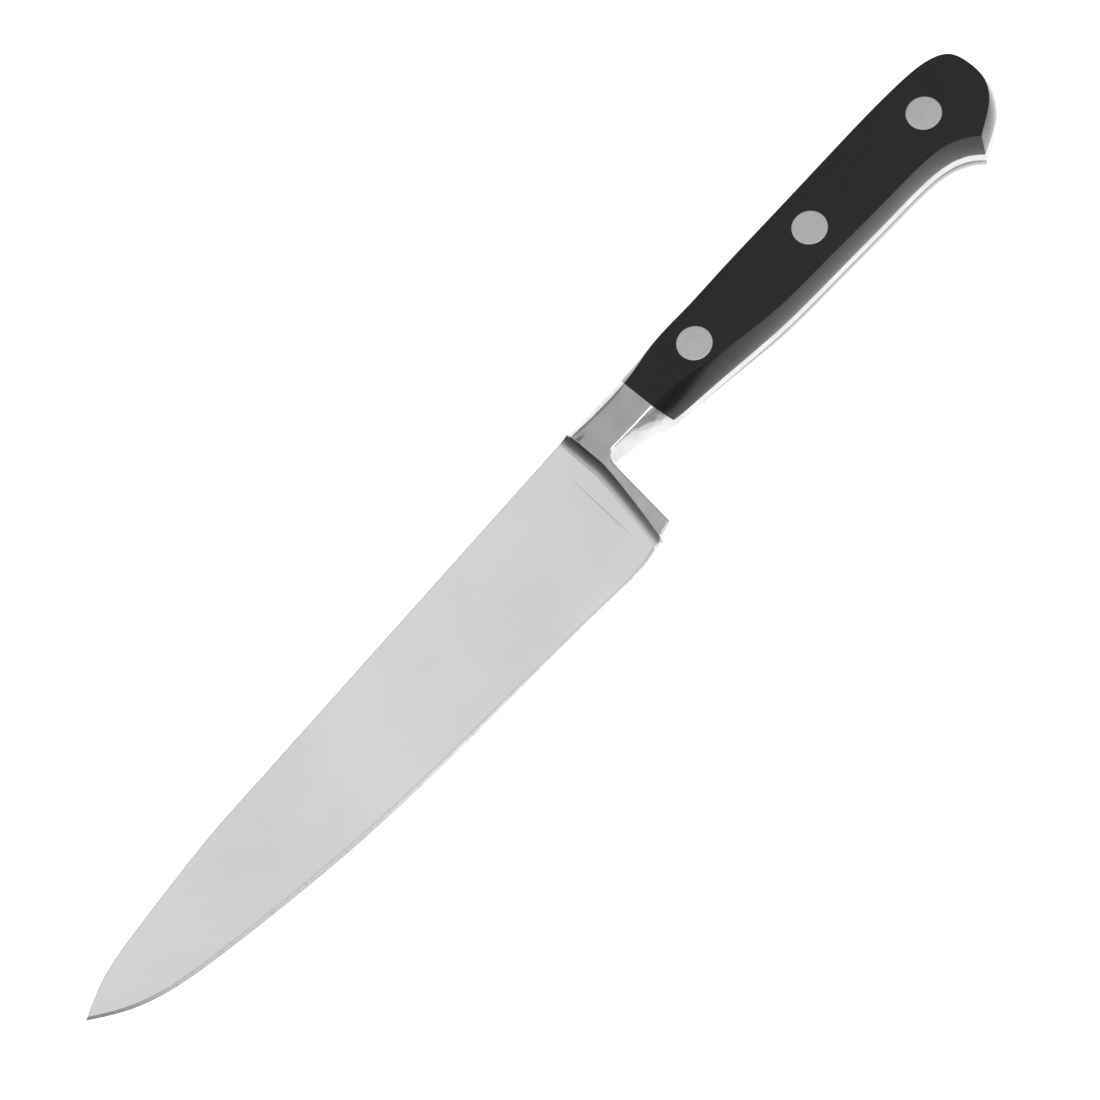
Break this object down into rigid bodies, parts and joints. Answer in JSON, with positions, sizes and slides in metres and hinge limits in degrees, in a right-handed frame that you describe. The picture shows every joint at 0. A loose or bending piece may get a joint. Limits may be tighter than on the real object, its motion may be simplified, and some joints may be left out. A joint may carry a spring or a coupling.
{
  "type": "chef knife",
  "caption": "Forged kitchen knife: pointed blade, full bolster with a heel return, full tang between two riveted handle scales.",
  "frame": {"origin": "centre of the knife's footprint as it lies on its right side, on the plane it rests on, which is the flat outer face of the right scale", "axes": "+X along the blade towards the tip, +Y in the plane of the blade towards the cutting edge, +Z out of the blade's left side"},
  "size_m": [0.266, 0.0314, 0.0144],
  "materials": {
    "satin_steel": "satin ground",
    "black_scale": "fine satin, moulded and ground to shape",
    "rivet_metal": "satin, ground flush with the scales"
  },
  "bodies": {
    "root": {"forged_blade": "satin_steel", "left_scale": "black_scale", "right_scale": "black_scale", "front_rivet_sleeve": "rivet_metal", "front_rivet_pin": "rivet_metal", "middle_rivet_sleeve": "rivet_metal", "middle_rivet_pin": "rivet_metal", "rear_rivet_sleeve": "rivet_metal", "rear_rivet_pin": "rivet_metal"}
  },
  "joints": []
}
